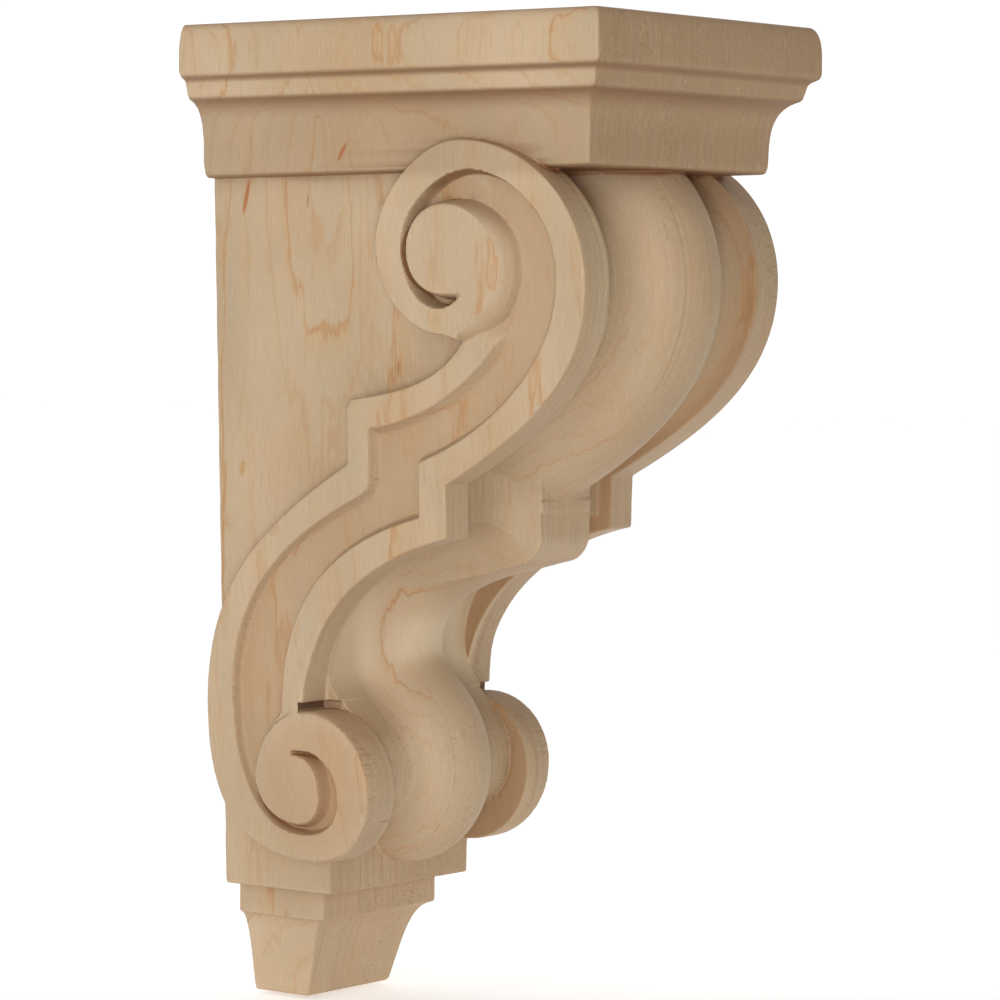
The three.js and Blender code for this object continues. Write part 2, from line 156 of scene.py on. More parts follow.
# The grid of small cubes that the skin is found in: its start, and how far it reaches across,
# out and up
GRID_START = -1.5
GRID_REACH = (66.0, 178.0, 334.0)
# How far out of the wood its hollows are felt, for the painted shade in them
HOLLOW_SHADE_REACH = 1.6


def chain(start, *runs, steps=22):
    """Joins straight runs, given as points, and curves, given as two handles and an end."""
    points = [np.array(start, float)]
    for run in runs:
        if np.ndim(run) == 1:
            points.append(np.array(run, float))
            continue
        a, b, end = (np.array(p, float) for p in run)
        begin = points[-1]
        for t in np.linspace(0, 1, steps + 1)[1:]:
            s = 1 - t
            points.append(s**3 * begin + 3 * s * s * t * a + 3 * s * t * t * b + t**3 * end)
    return np.array(points)


def arc(centre, radius, start, end, steps=24):
    turns = np.radians(np.linspace(start, end, steps))
    return np.array(centre) + radius * np.stack([np.cos(turns), np.sin(turns)], 1)


class Board:
    """A fine grid over a drawing, which keeps values such as the distance to a line."""

    def __init__(self, low, high, step):
        self.low = np.array(low, float)
        self.step = step
        self.size = [int(math.ceil((h - l) / step)) + 1 for l, h in zip(low, high)]
        axes = [l + step * np.arange(n) for l, n in zip(low, self.size)]
        self.a, self.b = np.meshgrid(*axes, indexing="ij")
        self.a = self.a.astype(np.float32)
        self.b = self.b.astype(np.float32)

    def away(self, line, closed=False):
        """The distance to a line, and the second coordinate of the nearest point on it."""
        best = np.full(self.a.shape, np.inf, np.float32)
        near = np.zeros(self.a.shape, np.float32)
        ends = list(zip(line, np.roll(line, -1, 0) if closed else line[1:]))
        for p, q in ends[: len(line) - (0 if closed else 1)]:
            d = q - p
            length = float(d @ d)
            if length < 1e-12:
                continue
            t = ((self.a - p[0]) * d[0] + (self.b - p[1]) * d[1]) / length
            t = np.clip(t, 0, 1)
            da = self.a - p[0] - t * d[0]
            db = self.b - p[1] - t * d[1]
            gap = da * da + db * db
            closer = gap < best
            best[closer] = gap[closer]
            near[closer] = (p[1] + t * d[1])[closer]
        return np.sqrt(best), near

    def inside(self, outline):
        within = np.zeros(self.a.shape, bool)
        for p, q in zip(outline, np.roll(outline, -1, 0)):
            if p[1] == q[1]:
                continue
            crosses = (self.b < p[1]) != (self.b < q[1])
            reach = p[0] + (self.b - p[1]) * (q[0] - p[0]) / (q[1] - p[1])
            within ^= crosses & (self.a < reach)
        return within

    def signed(self, outline):
        gap, near = self.away(outline, closed=True)
        return np.where(self.inside(outline), -gap, gap), near

    def read(self, values, a, b):
        """The values at any place, smoothed between the grid's points."""
        x = np.clip((a - self.low[0]) / self.step, 0, self.size[0] - 1.001)
        y = np.clip((b - self.low[1]) / self.step, 0, self.size[1] - 1.001)
        i = x.astype(np.int32)
        j = y.astype(np.int32)
        x = x - i
        y = y - j
        flat = values.ravel()
        k = i * self.size[1] + j
        low = flat[k] * (1 - y) + flat[k + 1] * y
        k = k + self.size[1]
        return low * (1 - x) + (flat[k] * (1 - y) + flat[k + 1] * y) * x


def smooth(value, low, high):
    t = np.clip((value - low) / (high - low), 0, 1)
    return t * t * (3 - 2 * t)


def mix(a, b, share):
    return a + (b - a) * share


def both(a, b, r):
    """Where two solids overlap, with the arris between them rounded."""
    u = np.maximum(a + r, 0)
    v = np.maximum(b + r, 0)
    return np.minimum(np.maximum(a, b), -r) + np.sqrt(u * u + v * v)


def either(a, b, r):
    """Two solids joined, with a small hollow in the corner between them."""
    return -both(-a, -b, r)


# The console from the side, down its front from the top, then up its back.
FRONT_EDGE = chain(
    (112, 290),
    ((139.1, 290), (162.6, 271.1), (162.6, 244)),
    ((162.6, 211.9), (133.7, 194.4), (STEP_OUT, STEP_TOP)),
    (STEP_OUT, STEP_FOOT),
    ((72.7, 154.3), (45.2, 134.7), (45.2, STOP_UP)),
)
BACK_EDGE = chain(
    (47.5, 51),
    ((8.3, 50), (0.3, 73.1), (0.3, 99.5)),
    ((0.3, 144.1), (27.4, 163.5), (64, 184.7)),
    (64, 203),
    (66, 206),
    ((86.2, 208.4), (102.4, 211.7), (112.4, 225)),
)
SCROLL_EDGE = chain(
    (112.6, 225.8),
    ((111, 226.3), (109, 226.9), (107, 227.2)),
    ((89, 228), (79.8, 244.1), (79.8, 257)),
    ((79.8, 272), (97.1, 290), (112, 290)),
)
# The rib's own line, which swells out between the lower scrolls instead of stopping.
RIB_LINE = chain(
    (112, 290),
    ((139.1, 290), (162.6, 271.1), (162.6, 244)),
    ((162.6, 211.9), (133.7, 194.4), (STEP_OUT, STEP_TOP)),
    (STEP_OUT, STEP_FOOT),
    ((73, 154), (49.5, 141.5), (49.5, 121)),
    ((49.5, 106), (71, 102), (71, 80.5)),
)
# The groove's edges: along the back band first, then along the front band.
GROOVE_BACK = chain(
    (39, 88),
    ((52, 90.5), (58.5, 82), (58.5, 74)),
    ((58.5, 65), (52, 60), (41, 60)),
    ((19, 60), (12, 84), (12, 106)),
    ((12, 145.1), (44.4, 163), (68, 174)),
    (72, 176.6),
    (73, 179),
    (73, 196.5),
    ((97, 199.2), (119, 213.5), (130.3, 230.5)),
    ((132, 234), (130, 240), (122, 246)),
)
GROOVE_FRONT = chain(
    (116.5, 241.8),
    ((112, 235.2), (100.5, 233), (94.5, 243.1)),
    ((90.5, 250), (89.8, 258), (93.3, 265.1)),
    ((96.5, 271.5), (106, 280), (117, 280)),
    ((129.9, 280), (151, 268.3), (151, 246)),
    ((151, 219.1), (124, 196.3), (94.5, 186)),
    (94.3, 168),
    ((56.6, 158.6), (34.5, 138.6), (34.5, 101)),
    ((27.5, 95), (21.8, 86), (21.8, 78)),
    ((21.8, 69), (31, 63.3), (40, 63.3)),
    ((47, 63.5), (51, 68.5), (50.4, 76)),
    ((49.8, 83), (46, 86.8), (39, 87)),
)
# The eye of the upper scroll with the end of the ring that runs into it.
EYE_EDGE = chain(
    (116.5, 242),
    ((110, 239.6), (96.5, 238.5), (93.3, 251.5)),
    ((91.5, 260), (98, 269.4), (108.5, 269.4)),
    ((118, 269.4), (128.8, 262), (128.8, 249)),
    ((128.8, 240), (121, 231.5), (111.5, 227)),
    (104, 229),
    (104, 234),
    ((109, 234.6), (113, 237), (116, 241)),
)


def unnarrowed(across, up):
    """How far from the middle plane a place would be, if the console didn't narrow."""
    return np.abs(across) / (1 - NARROWING * (CAP_UNDERSIDE - 1 - np.minimum(up, CAP_UNDERSIDE)))


def rib_rise(u, up):
    """How far the front stands off its line, across the rib, its cove and the sunk floor.

    Between the upper scrolls the floor is deeper, and hollow up to the scrolls' arris.
    """
    deep = smooth(up, 180, 205)
    floor = mix(FLOOR_DEPTH, HOLLOW_DEPTH, deep)
    reach = RIB_RADIUS + RIB_COVE
    drop = RIB_RADIUS - RIB_HEIGHT + RIB_COVE - floor
    cove_at = np.sqrt(reach * reach - drop * drop)
    turns = cove_at * RIB_RADIUS / reach
    crown = RIB_HEIGHT - RIB_RADIUS + np.sqrt(np.maximum(RIB_RADIUS**2 - u * u, 0))
    inward = np.clip(cove_at - u, 0, RIB_COVE)
    cove = RIB_COVE - floor - np.sqrt(np.maximum(RIB_COVE**2 - inward * inward, 0))
    share = np.clip((u - cove_at) / (FILLET_INNER - cove_at), 0, 1)
    cove = cove + deep * floor * (1 - np.sqrt(1 - share * share))
    return np.where(u < turns, crown, cove)


def step_rise(u):
    share = np.clip((STEP_HALF + STEP_COVE - u) / STEP_COVE, 0, 1)
    return RIB_HEIGHT - (RIB_HEIGHT + FLOOR_DEPTH) * np.sqrt(1 - share * share)


def side_height(board):
    """How far each place on the console's side stands from the middle plane."""
    out, up = board.a, board.b
    # The bands: the back one lies a little lower
    back = chain(
        (120, 246), (139, 238), (135, 222), (122, 207.5), (104, 195.5), (84, 190), (84, 180),
        (50, 160), (22, 130), (19, 106), (17, 84), (24, 68), (38, 61.7), (52, 61.7), (52, 40),
        (-9, 40), (-9, 200), (60, 226), (100, 240),
    )
    sinking = smooth(up + 0.5 * out, 285, 298) * (out > 112)
    band = -BACK_BAND_DROP - (GROOVE_DEPTH - BACK_BAND_DROP) * sinking
    lift = np.where(board.inside(back), band, 0).astype(np.float32)
    # The side swells out over the stop
    swell = smooth(up, STOP_UP + 20, STOP_UP) * smooth(out, 33, 43) * (out < 60)
    lift = np.where(lift == 0, lift + STOP_FLARE * swell, lift)
    # The ring climbs as it winds round to the eye
    east, north = out - EYE[0], up - EYE[1]
    turn = np.degrees(np.arctan2(north, east)) % 360
    ring = np.concatenate([SCROLL_EDGE, [(140, 290), (140, 225.8)]])
    climb = EYE_LIFT * smooth(turn, 70, 195) * (turn < 275) * board.inside(ring)
    lift = np.where(climb > 0, climb, lift)
    # The lower disc is tilted
    along = (out - DISC[0] + up - DISC[1]) * math.sqrt(0.5) + DISC_RADIUS
    tilt = np.maximum(along, 0) * DISC_LIFT_SLOPE - BACK_BAND_DROP
    on_disc = np.hypot(out - DISC[0], up - DISC[1]) < DISC_RADIUS
    lift = np.where(on_disc, tilt, lift)

    # The groove, steep at its arris and hollow at its foot
    ribbon = np.concatenate([GROOVE_BACK, GROOVE_FRONT])
    to_back, _ = board.away(GROOVE_BACK)
    to_front, _ = board.away(GROOVE_FRONT)
    back_width = mix(1.5, 2.7, smooth(up, 155, 168))
    back_width = back_width + 1.1 * smooth(up, 198, 212)
    front_width = mix(2.8, 1.2, smooth(up, 190, 225))
    front_width = np.where(up < 101, 1.2, front_width)
    down = np.minimum(np.clip(to_back / back_width, 0, 1), np.clip(to_front / front_width, 0, 1))
    down = np.where(board.inside(ribbon), 1 - (1 - down) ** 2, 0)
    height = mix(RELIEF_HALF + lift, RELIEF_HALF - GROOVE_DEPTH, down)

    # The eye, whose right flank slopes away under the winding groove
    gap, _ = board.signed(EYE_EDGE)
    turn = np.degrees(np.arctan2(north, east))
    width = np.interp(turn, EYE_TURNS, EYE_FLANKS)
    gap = np.maximum(gap, 0) / width
    round_off = 1 - np.sqrt(1 - np.minimum(gap, 1) ** 2)
    flank = mix(np.minimum(gap, 1), round_off, 0.55) * (GROOVE_DEPTH + EYE_LIFT)
    eye = RELIEF_HALF + EYE_LIFT - flank - np.maximum(gap - 1, 0) * 30
    return np.maximum(height, eye)


def cap_outline():
    """The cap's moulding, as distance past the widest line and height."""
    return np.concatenate([
        chain((-60, HEIGHT), (-3.1, HEIGHT), ((-1, 329), (0, 326), (0, 319)), (0, 315.2),
              ((0, 313), (-0.7, 312.2), (-1.7, 311.8)), ((-3, 311.2), (-3.6, 310.4), (-3.7, 309)),
              (-4.4, 306.4), ((-4.7, 305.2), (-5.4, 304.8), (-6.2, 304.5)),
              ((-10.2, 302.6), (-12.3, 298), (-12.5, 289)), (-12.7, 284),
              ((-12.9, 281), (-14.2, 278), (-16, 276)), (-60, 276)),
    ])


def drop_outline(draw):
    """The drop's side, as distance past its upper block and height."""
    return chain(
        (-60, 45), (0, 45), (0, 28.6),
        ((-draw * 0.5, 27.6), (-draw * 0.62, 17), (-draw * 0.93, 1.2)),
        (-draw * 1.02, 0), (-60, 0),
    )


class Carving:
    """The wood as one distance field."""

    def __init__(self, step):
        self.side = Board((-5, -4), (182, 296), step)
        bottom = np.array([(47.5, 76.0), (43.5, 76.0), (43.5, STOP_UP), (45.2, STOP_UP)])
        outline = np.concatenate([BACK_EDGE, SCROLL_EDGE[1:], FRONT_EDGE[1:], bottom[::-1]])
        self.console = self.side.signed(outline)[0]
        self.height = side_height(self.side)
        da, db = np.gradient(self.height, step)
        self.tilt = (1 / np.sqrt(1 + np.minimum(da * da + db * db, 9))).astype(np.float32)
        under = arc((47.5, 80.5), 23.5, 0, -125)[1:]
        rib = np.concatenate([RIB_LINE, under, [(25, 62), (25, 290)]])
        self.rib, near = self.side.signed(rib)
        self.share = np.where(near > STEP_TOP + 0.1, 0, smooth(near, STEP_FOOT - 18, STEP_FOOT - 2))
        slab = np.array([
            (-9, SLAB_FOOT), (SLAB_FRONT, SLAB_FOOT), (SLAB_FRONT, 60), (40, 84), (40, 125),
            (56, 150), (90, 164), (97, 168), (97, 182), (120, 200), (130, 215), (130, 285),
            (-9, 285),
        ])
        self.slab = self.side.signed(slab)[0]
        self.cap = Board((-45, 270), (8, 340), step)
        self.cap_gap = self.cap.signed(cap_outline())[0]
        self.drop = Board((-45, -6), (8, 50), step)
        self.drop_gaps = [
            self.drop.signed(drop_outline(draw))[0] for draw in (DROP_DRAW_ACROSS, DROP_DRAW_OUT)
        ]

    def distance(self, across, out, up):
        """How far each place is outside the wood; it is negative inside."""
        away = np.abs(across)
        u = unnarrowed(across, up)
        read = self.side.read
        height = read(self.height, out, up)
        face = (u - height) * read(self.tilt, out, up)
        inner = FILLET_INNER - u
        console = both(both(read(self.console, out, up), face, ARRIS), inner, INNER_ARRIS)
        disc = np.hypot(out - DISC[0], up - DISC[1]) - DISC_RADIUS
        disc = both(both(disc, face, DISC_ROUND), inner, INNER_ARRIS)
        slab = both(u - SLAB_HALF, read(self.slab, out, up), SLAB_ARRIS)
        rib = read(self.rib, out, up)
        share = read(self.share, out, up)
        rise = mix(rib_rise(u, up), step_rise(u), share)
        lean = (rib_rise(u + 0.3, up) - rib_rise(u - 0.3, up)) / 0.6
        front = (rib - rise) / np.sqrt(1 + np.minimum(lean * lean, 4))
        front = np.maximum(front, np.maximum(u - FRONT_HALF, up - FRONT_TOP))
        ends = np.maximum(STEP_FOOT + STEP_BLOCK_RISE - up, up - STEP_BLOCK_TOP)
        block = both(out - STEP_OUT - step_rise(u), ends, SHARP)
        block = np.maximum(block * 0.75, u - STEP_BLOCK_HALF)
        wood = either(either(slab, console, CORNER), either(front, block, CORNER), WIDE_CORNER)
        # The saw cut over the lower scroll
        tall = np.abs(up - STOP_MIDDLE) - (STOP_UP - STOP_MIDDLE)
        cut = np.maximum(np.maximum(STOP_CUT_OUT - out, tall), inner)
        wood = np.maximum(wood, -cut)
        wood = either(wood, disc, SHARP)
        cap = both(
            self.cap.read(self.cap_gap, away - CAP_HALF, up),
            self.cap.read(self.cap_gap, out - CAP_DEPTH, up),
            ARRIS,
        )
        cap = both(cap, CAP_UNDERSIDE + CAP_UNDERSIDE_RISE * out - up, CAP_FOOT_ARRIS)
        drop = both(
            self.drop.read(self.drop_gaps[0], away - DROP_HALF, up),
            self.drop.read(self.drop_gaps[1], out - DROP_OUT, up),
            DROP_ARRIS,
        )
        wood = np.minimum(either(wood, cap, SHARP), either(slab, drop, SHARP))
        return both(wood, -out, SHARP)

    def slope(self, points, reach=0.2):
        """The direction out of the wood at each place."""
        parts = []
        for axis in range(3):
            shift = np.zeros(3)
            shift[axis] = reach
            ahead = self.distance(*(points + shift).T)
            parts.append(ahead - self.distance(*(points - shift).T))
        return np.stack(parts, 1) / (2 * reach)

    def settle(self, points, times=3):
        """Moves points onto the surface."""
        for _ in range(times):
            slope = self.slope(points)
            size = np.maximum((slope * slope).sum(1), 0.3)
            gap = self.distance(*points.T)
            points = points - slope * np.clip(gap / size, -0.6, 0.6)[:, None]
        return points


def skin(carving, step):
    """Wraps half of the wood in small squares and mirrors them to the other half."""
    across, deep, tall = (int(math.ceil(reach / step)) for reach in GRID_REACH)
    xs = step * (np.arange(across + 2) - 0.5)
    ys = GRID_START + step * np.arange(deep + 1)
    zs = GRID_START + step * np.arange(tall + 1)
    shape = (len(xs), len(ys), len(zs))
    out, up = np.meshgrid(ys, zs, indexing="ij")
    values = np.empty(shape, np.float32)
    for i, x in enumerate(xs):
        values[i] = carving.distance(np.full(out.shape, abs(x)), out, up)
    solid = values < 0
    ids, spots, squares = [], [], []
    strides = np.array([shape[1] * shape[2], shape[2], 1])
    for axis in range(3):
        ahead = [slice(None)] * 3
        behind = [slice(None)] * 3
        ahead[axis] = slice(1, None)
        behind[axis] = slice(None, -1)
        crossing = np.argwhere(solid[tuple(ahead)] != solid[tuple(behind)])
        here = crossing @ strides
        there = here + strides[axis]
        a, b = values.ravel()[here], values.ravel()[there]
        place = crossing.astype(float)
        place[:, axis] += a / (a - b)
        p, q = strides[(axis + 1) % 3], strides[(axis + 2) % 3]
        around = np.stack([here - p - q, here - q, here, here - p], 1)
        ids.append(around.ravel())
        spots.append(np.repeat(place, 4, 0))
        turned = np.where((a > 0)[:, None], around, around[:, ::-1])
        keep = crossing[:, 0] > 0 if axis else np.ones(len(crossing), bool)
        squares.append(turned[keep])
    ids = np.concatenate(ids)
    spots = np.concatenate(spots)
    cells, back = np.unique(ids, return_inverse=True)
    counts = np.bincount(back)
    points = np.stack([np.bincount(back, spots[:, k]) / counts for k in range(3)], 1)
    points = points * step + np.array([xs[0], ys[0], zs[0]])
    middle = cells // strides[0] == 0
    points[middle, 0] = 0
    points = carving.settle(points)
    points[middle, 0] = 0
    squares = np.searchsorted(cells, np.concatenate(squares))
    other = np.arange(len(points))
    other[~middle] = len(points) + np.arange((~middle).sum())
    mirrored = points[~middle] * np.array([-1, 1, 1])
    squares = np.concatenate([squares, other[squares][:, ::-1]])
    return np.concatenate([points, mirrored]), squares


def to_frame(points):
    """From across, out and up in millimetres to the part's own frame in metres."""
    return np.stack([points[:, 0], -points[:, 1], points[:, 2] - HEIGHT / 2], 1) * MM


def from_frame(points):
    points = points / MM
    return np.stack([points[:, 0], -points[:, 1], points[:, 2] + HEIGHT / 2], 1)


def mesh_from(name, points, faces):
    mesh = bpy.data.meshes.new(name)
    mesh.vertices.add(len(points))
    mesh.vertices.foreach_set("co", points.astype(np.float32).ravel())
    corners = faces.shape[1]
    mesh.loops.add(faces.size)
    mesh.loops.foreach_set("vertex_index", faces.ravel().astype(np.int32))
    mesh.polygons.add(len(faces))
    mesh.polygons.foreach_set("loop_start", np.arange(0, faces.size, corners, dtype=np.int32))
    mesh.update(calc_edges=True)
    mesh.validate()
    return mesh


def facing(points, corners):
    a, b, c = (points[corners[:, k]] for k in range(3))
    normal = np.cross(b - a, c - a)
    return normal / np.maximum(np.linalg.norm(normal, axis=1, keepdims=True), 1e-12)


def unfold(carving, points, corners, times=4):
    """Takes out thin faces that are folded over, by drawing in their shortest sides."""
    for _ in range(times):
        slope = carving.slope(points)[corners].sum(1)
        # "out" runs against the frame's own axis, so the faces' directions are turned round
        folded = corners[(facing(points, corners) * slope).sum(1) > 0.2]
        if not len(folded):
            break
        sides = np.roll(folded, -1, 1)
        lengths = np.linalg.norm(points[sides] - points[folded], axis=2)
        rows = np.arange(len(folded)), lengths.argmin(1)
        kept = np.arange(len(points))
        kept[np.maximum(folded[rows], sides[rows])] = np.minimum(folded[rows], sides[rows])
        corners = kept[corners]
        corners = corners[(corners != np.roll(corners, 1, 1)).all(1)]
    return corners


def carve(step, most_faces):
    carving = Carving(min(step, 0.6))
    points, squares = skin(carving, step)
    mesh = mesh_from("carved_corbel", to_frame(points), squares)
    body = bpy.data.objects.new("carved_corbel", mesh)
    bpy.context.scene.collection.objects.link(body)
    faces = 2 * len(squares)
    if faces > most_faces:
        fewer = body.modifiers.new("fewer", "DECIMATE")
        fewer.ratio = most_faces / faces
        graph = bpy.context.evaluated_depsgraph_get()
        ready = bpy.data.meshes.new_from_object(body.evaluated_get(graph))
        body.modifiers.clear()
        body.data = ready
    mesh = body.data
    points = np.empty(len(mesh.vertices) * 3, np.float32)
    mesh.vertices.foreach_get("co", points)
    points = carving.settle(from_frame(points.reshape(-1, 3).astype(float)), 2)
    mesh.calc_loop_triangles()
    corners = np.empty(len(mesh.loop_triangles) * 3, np.int32)
    mesh.loop_triangles.foreach_get("vertices", corners)
    corners = unfold(carving, points, corners.reshape(-1, 3))
    used, corners = np.unique(corners, return_inverse=True)
    points = points[used]
    mesh = mesh_from("carved_corbel", to_frame(points), corners.reshape(-1, 3))
    body.data = mesh
    slope = carving.slope(points, 0.3)
    slope /= np.maximum(np.linalg.norm(slope, axis=1, keepdims=True), 1e-9)
    # Where the surface is hollow, and where it is the sunk floor of a groove in the side: masks for
    # painted shade
    away = points + HOLLOW_SHADE_REACH * slope
    hollow = 1 - np.clip(carving.distance(*away.T) / HOLLOW_SHADE_REACH, 0, 1)
    u = unnarrowed(points[:, 0], points[:, 2])
    sideways = (np.abs(slope[:, 0]) > 0.6) * (points[:, 2] < CAP_UNDERSIDE - 1)
    sunk = smooth(u, 54.5, 51.8) * (u > 46.5) * sideways
    for name, values in (("hollow", hollow), ("sunk", sunk)):
        layer = mesh.attributes.new(name, "FLOAT", "POINT")
        layer.data.foreach_set("value", values.astype(np.float32))
    slope[:, 1] *= -1
    mesh.shade_smooth()
    mesh.normals_split_custom_set_from_vertices(slope.tolist())
    return body


def colour(code):
    """A hex colour in the linear values that the shaders use."""
    parts = [int(code[i : i + 2], 16) / 255 for i in (1, 3, 5)]
    return (*(c / 12.92 if c <= 0.04045 else ((c + 0.055) / 1.055) ** 2.4 for c in parts), 1)


def add(tree, kind, inputs=(), **settings):
    """Adds a node, with its settings and with values or links on its sockets."""
    node = tree.nodes.new(kind)
    for name, value in settings.items():
        setattr(node, name, value)
    for key, value in dict(inputs).items():
        if isinstance(value, bpy.types.NodeSocket):
            tree.links.new(value, node.inputs[key])
        else:
            node.inputs[key].default_value = value
    return node


def maple():
    """Bare hard maple, planed and sanded matt.

    The fibres run up and down. The block is glued up from three boards side by side, whose year
    rings lie nearly flat to the bracket's sides: there they show as tall arches, and on the front
    as close upright lines with short flecks of ray between them.
    """
    material = bpy.data.materials.new("maple")
    material.use_nodes = True
    tree = material.node_tree
    shader = tree.nodes["Principled BSDF"]

    def sums(kind, *values, **settings):
        inputs = {i: value for i, value in enumerate(values)}
        return add(tree, "ShaderNodeMath", inputs, operation=kind, **settings).outputs[0]

    def ramp(value, low, high, bottom=0.0, top=1.0):
        inputs = {0: value, 1: low, 2: high, 3: bottom, 4: top}
        return add(tree, "ShaderNodeMapRange", inputs, interpolation_type="SMOOTHSTEP").outputs[0]

    def grain(across, out, up, detail=1.5, seed=0.0):
        """Soft noise, from the width of its blobs in millimetres."""
        scale = (1 / across, 1 / out, 1 / up)
        shrunk = add(tree, "ShaderNodeVectorMath", {0: spot, 1: scale}, operation="MULTIPLY")
        inputs = {"Vector": shrunk.outputs[0], "W": seed, "Scale": 1.0, "Detail": detail}
        return add(tree, "ShaderNodeTexNoise", inputs, noise_dimensions="4D").outputs[0]

    def tint(base, over, share):
        inputs = {0: share, 6: base, 7: over}
        return add(tree, "ShaderNodeMix", inputs, data_type="RGBA").outputs[2]

    place = add(tree, "ShaderNodeTexCoord")
    inputs = {0: place.outputs["Object"], "Scale": 1 / MM}
    spot = add(tree, "ShaderNodeVectorMath", inputs, operation="SCALE").outputs[0]
    x, y, z = add(tree, "ShaderNodeSeparateXYZ", {0: spot}).outputs
    normal = add(tree, "ShaderNodeSeparateXYZ", {0: place.outputs["Normal"]}).outputs
    frontal = ramp(sums("ABSOLUTE", normal[1]), 0.35, 0.85)

    # The boards
    second = sums("GREATER_THAN", x, BOARD_EDGES[0])
    third = sums("GREATER_THAN", x, BOARD_EDGES[1])

    # The year rings
    up = sums("ADD", z, HEIGHT / 2)
    behind = sums("DIVIDE", sums("ADD", y, ARCH_OUT), ARCH_BACK)
    before = sums("SUBTRACT", -ARCH_OUT, y)
    far = sums("ADD", sums("DIVIDE", before, ARCH_FRONT_FAR), ARCH_FRONT_ADDED)
    before = sums("MINIMUM", sums("DIVIDE", before, ARCH_FRONT), far)
    below = sums("DIVIDE", sums("SUBTRACT", ARCH_TOP, up), ARCH_DOWN)
    far = sums("DIVIDE", sums("SUBTRACT", ARCH_TOP_FAR, up), ARCH_DOWN_FAR)
    below = sums("MINIMUM", below, sums("ADD", far, ARCH_DOWN_ADDED))
    below = sums("MAXIMUM", below, 0.0)
    beside = sums("POWER", sums("MAXIMUM", behind, before), 3.0)
    arch = sums("POWER", sums("ADD", beside, sums("POWER", below, 3.0)), 1 / 3)
    wander = sums("MULTIPLY", grain(90, 38, 120, 2.5), 14.0)
    jagged = sums("MULTIPLY", grain(5.0, 4.0, 24, 3.0, 17.0), 7.0)
    rings = sums("DIVIDE", sums("ADD", sums("ADD", arch, wander), jagged), RING_STEP)
    rings = sums("SUBTRACT", rings, sums("MULTIPLY", sums("ADD", x, SLAB_HALF), RING_LEAN))
    rings = sums("ADD", rings, sums("MULTIPLY", sums("ADD", second, third), 5.4))
    rings = sums("SUBTRACT", rings, RING_START)
    past = sums("SUBTRACT", sums("FRACT", sums("ADD", rings, 0.5)), 0.5)
    # Every third ring is a strong one
    strong = sums("COSINE", sums("MULTIPLY", rings, 2 * math.pi / 3))
    strong = sums("ADD", sums("MULTIPLY", strong, 0.5), 0.5)
    strength = sums("MULTIPLY", ramp(grain(60, 24, 50, seed=3.0), 0.35, 0.6, 0.25, 1.0),
                    ramp(strong, 0.1, 0.9, 0.35, 1.0))
    late = sums("MULTIPLY", ramp(sums("ABSOLUTE", past), 0.12, 0.0), strength)
    halo = sums("MULTIPLY", ramp(past, 0.42, -0.03), ramp(past, -0.1, 0.0))
    halo = sums("MULTIPLY", halo, strength)

    tone = tint(colour("#BDA585"), colour("#CBB191"), ramp(grain(50, 45, 110, seed=1.0), 0.3, 0.7))
    tone = tint(tone, colour("#BCA88C"), ramp(grain(14, 9, 26, 2.0, 19.0), 0.5, 0.75, 0.0, 0.6))
    warm = ramp(grain(40, 30, 55, 2.0, 13.0), 0.45, 0.75, 0.0, 0.3)
    tone = tint(tone, colour("#C0925F"), warm)
    tone = tint(tone, colour("#C99F6C"), sums("MULTIPLY", halo, 0.45))
    tone = tint(tone, colour("#B88453"), sums("MULTIPLY", late, 0.6))

    # Edge grain is darker and shows the fine rings
    fine = ramp(grain(1.1, 50, 70, 2.0, 5.0), 0.35, 0.65)
    edge = tint(colour("#9F8463"), colour("#B59A79"), fine)
    edge = tint(edge, colour("#A98459"), ramp(grain(5, 60, 90, 2.0, 21.0), 0.45, 0.7, 0.0, 0.6))
    edge = tint(edge, colour("#9A7449"), ramp(up, 275.0, 283.0, 0.0, 0.6))
    edge = tint(edge, colour("#A27F57"), sums("MULTIPLY", second, 0.35))
    # Painted shade: the upper front, around the cap, takes more of the darker edge colour, where
    # less light falls
    tone = tint(tone, edge, sums("MULTIPLY", frontal, ramp(z, 100.0, 122.0, 0.35, 0.7)))
    # The glue lines between the boards
    for side in BOARD_EDGES:
        seam = ramp(sums("ABSOLUTE", sums("SUBTRACT", x, side)), 0.35, 0.05, 0.0, 0.25)
        tone = tint(tone, colour("#7F6040"), sums("MULTIPLY", seam, frontal))

    # Ray flecks, longer across the fibres than along them
    patches = ramp(grain(14, 30, 40, seed=7.0), 0.52, 0.62)
    flecks = ramp(grain(1.6, 1.6, 0.55, 0.0, 9.0), 0.62, 0.72)
    flecks = sums("MULTIPLY", sums("MULTIPLY", patches, flecks), frontal)
    tone = tint(tone, colour("#8A6A4A"), sums("MULTIPLY", flecks, 0.45))

    # Fibres
    fibres = grain(0.5, 0.5, 9, 2.0, 11.0)
    tone = tint(tone, colour("#A5875F"), ramp(fibres, 0.5, 0.85, 0.0, 0.5))
    tone = tint(tone, colour("#D6C2A4"), ramp(grain(0.9, 0.9, 5, 2.0, 23.0), 0.5, 0.8, 0.0, 0.3))
    # Painted light: the lower front is painted paler, where the low light falls brightest
    pale = sums("MULTIPLY", ramp(up, 165.0, 140.0), ramp(up, 92.0, 115.0, 0.1, 0.65))
    pale = sums("MULTIPLY", sums("MULTIPLY", pale, frontal), ramp(up, 50.0, 65.0))
    pale = sums("MULTIPLY", pale, ramp(sums("ABSOLUTE", x), 41.0, 37.0))
    tone = tint(tone, colour("#E2CDAC"), pale)
